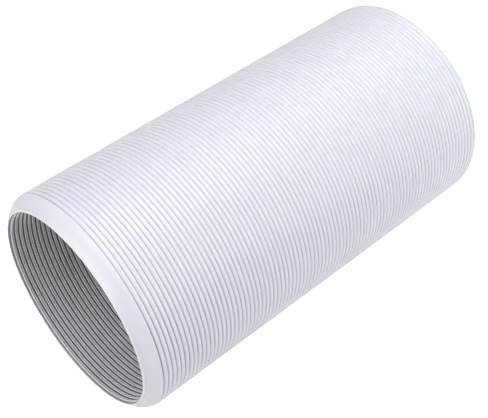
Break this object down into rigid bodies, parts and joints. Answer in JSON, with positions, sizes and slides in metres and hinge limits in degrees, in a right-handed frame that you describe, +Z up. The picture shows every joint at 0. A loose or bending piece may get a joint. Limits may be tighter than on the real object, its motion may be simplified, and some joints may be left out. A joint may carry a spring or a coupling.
{
  "type": "air conditioner exhaust hose",
  "caption": "Round ribbed plastic exhaust hose for a portable air conditioner, pushed together, with a smooth tapered band at its mouth.",
  "frame": {"origin": "bottom centre of the bounding box: under the middle of the hose, on the floor that it lies on", "axes": "+X along the bore, from the mouth with the wide band to the far end; +Z up; +Y across"},
  "size_m": [0.2892, 0.15, 0.15],
  "materials": {
    "hose_plastic": "satin"
  },
  "bodies": {
    "root": {"exhaust_hose": "hose_plastic"}
  },
  "joints": []
}
